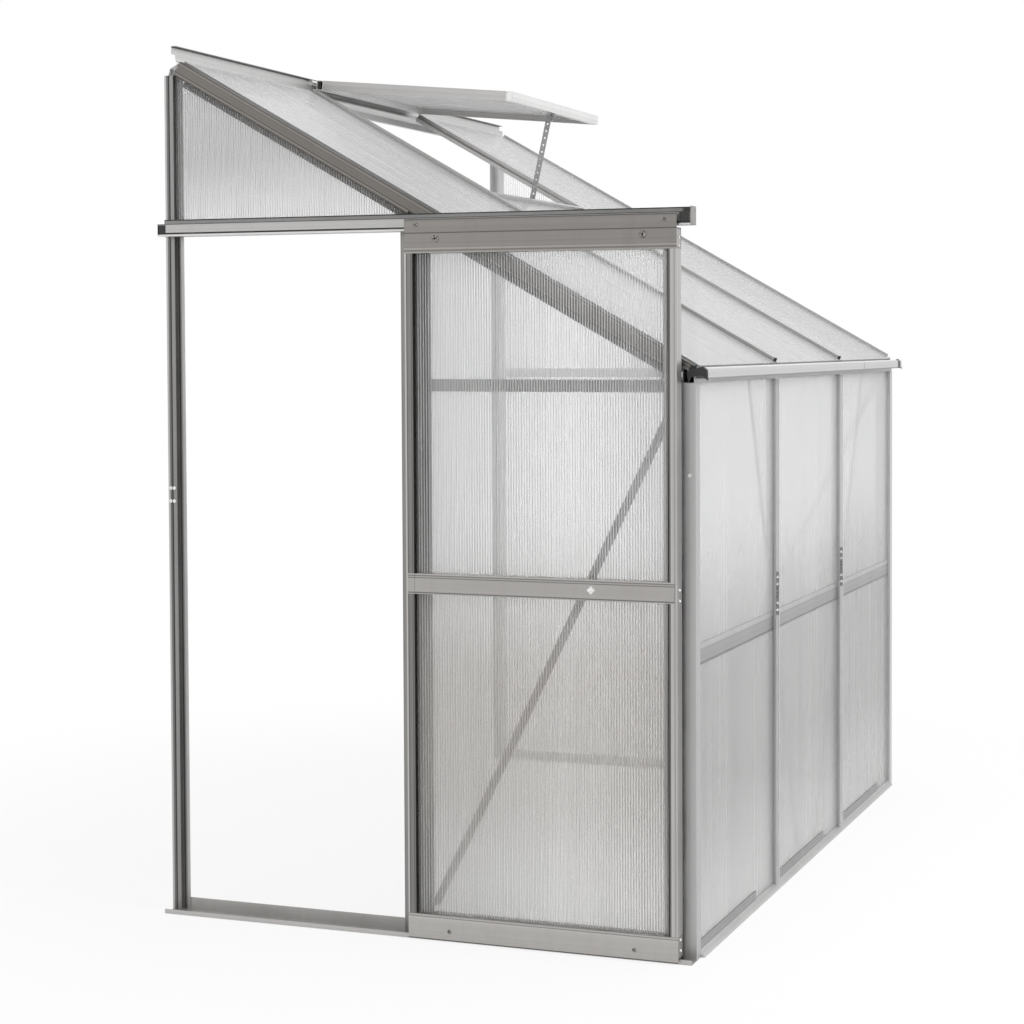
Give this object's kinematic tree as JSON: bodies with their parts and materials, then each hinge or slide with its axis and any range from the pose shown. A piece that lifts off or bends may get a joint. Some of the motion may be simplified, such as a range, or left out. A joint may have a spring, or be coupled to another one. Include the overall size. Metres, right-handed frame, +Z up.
{
  "type": "lean-to greenhouse",
  "caption": "Lean-to greenhouse in aluminium and twin-wall sheets, with a sliding door hung from a rail and a roof vent held open on a perforated stay.",
  "frame": {"origin": "middle of the footprint of the whole bounding box, on the ground", "axes": "+Z up; +X from the house wall to the low side wall with the gutter; the sliding door is in the gable at -Y"},
  "size_m": [1.262, 1.922, 1.9318],
  "materials": {
    "mill_aluminium": "satin extrusion",
    "twin_wall_sheet": "translucent ribbed sheet",
    "black_plastic": "matte",
    "plated_steel": "zinc plated"
  },
  "bodies": {
    "frame": {"bottom_glazing_strips": "mill_aluminium", "corner_post_door_end": "mill_aluminium", "corner_post_far_end": "mill_aluminium", "door_end_eave_bar": "mill_aluminium", "door_end_sill": "mill_aluminium", "door_head_bar": "mill_aluminium", "door_jamb_post": "mill_aluminium", "door_rail": "mill_aluminium", "door_rail_end_plate": "mill_aluminium", "eave_beam": "mill_aluminium", "far_end_eave_bar": "mill_aluminium", "far_end_middle_post": "mill_aluminium", "far_end_sill": "mill_aluminium", "far_sheets_lower": "twin_wall_sheet", "far_sheets_upper": "twin_wall_sheet", "frame_bolts": "plated_steel", "gable_braces": "mill_aluminium", "gable_sheet_fixed": "twin_wall_sheet", "gable_sheet_triangle": "twin_wall_sheet", "gutter": "mill_aluminium", "gutter_end_caps": "black_plastic", "joining_plates": "plated_steel", "low_side_sill": "mill_aluminium", "rafter_1": "mill_aluminium", "rafter_2": "mill_aluminium", "rafter_door_end": "mill_aluminium", "rafter_end_caps": "black_plastic", "rafter_far_end": "mill_aluminium", "ridge_beam": "mill_aluminium", "roof_sheet_below_vent": "twin_wall_sheet", "roof_sheets_end_bays": "twin_wall_sheet", "side_bar_1": "mill_aluminium", "side_bar_2": "mill_aluminium", "side_braces": "mill_aluminium", "side_joint_strips": "mill_aluminium", "side_sheets_lower": "twin_wall_sheet", "side_sheets_upper": "twin_wall_sheet", "stay_peg": "plated_steel", "vent_cross_bar": "mill_aluminium", "wall_post_door_end_lower": "mill_aluminium", "wall_post_door_end_upper": "mill_aluminium", "wall_post_far_end_lower": "mill_aluminium", "wall_post_far_end_upper": "mill_aluminium"},
    "door": {"door_stile_left": "mill_aluminium", "door_stile_right": "mill_aluminium", "door_header": "mill_aluminium", "door_mid_rail": "mill_aluminium", "door_bottom_rail": "mill_aluminium", "door_sheet_lower": "twin_wall_sheet", "door_sheet_upper": "twin_wall_sheet", "door_hangers": "plated_steel", "door_screws": "plated_steel"},
    "roller_left": {"door_roller_left": "black_plastic"},
    "roller_right": {"door_roller_right": "black_plastic"},
    "vent": {"vent_top_rail": "mill_aluminium", "vent_bottom_rail": "mill_aluminium", "vent_side_rails": "mill_aluminium", "vent_sheet": "twin_wall_sheet", "stay_bracket": "plated_steel"},
    "stay": {"stay_bar": "plated_steel"}
  },
  "joints": [
    {"name": "door_slide", "type": "slide", "parent": "frame", "child": "door", "axis": [-1, 0, 0], "range_m": [0, 0.6]},
    {"name": "roller_left_spin", "type": "hinge", "parent": "door", "child": "roller_left", "pos_m": [0.045, -0.93295, 1.5201], "axis": [0, 1, 0], "continuous": true},
    {"name": "roller_right_spin", "type": "hinge", "parent": "door", "child": "roller_right", "pos_m": [0.506, -0.93295, 1.5201], "axis": [0, 1, 0], "continuous": true},
    {"name": "vent_hinge", "type": "hinge", "parent": "frame", "child": "vent", "pos_m": [-0.6041, 0.021, 1.92291], "axis": [0, 1, 0], "range_deg": [0, 24]},
    {"name": "stay_pivot", "type": "hinge", "parent": "vent", "child": "stay", "pos_m": [-0.08332, 0.02605, 1.84729], "axis": [0, 1, 0], "range_deg": [-24, 0]}
  ],
  "couplings": [
    {"joint": "roller_left_spin", "follows": "door_slide", "rad_per_m": -111.11},
    {"joint": "roller_right_spin", "follows": "door_slide", "rad_per_m": -111.11},
    {"joint": "stay_pivot", "follows": "vent_hinge", "ratio": -1}
  ]
}
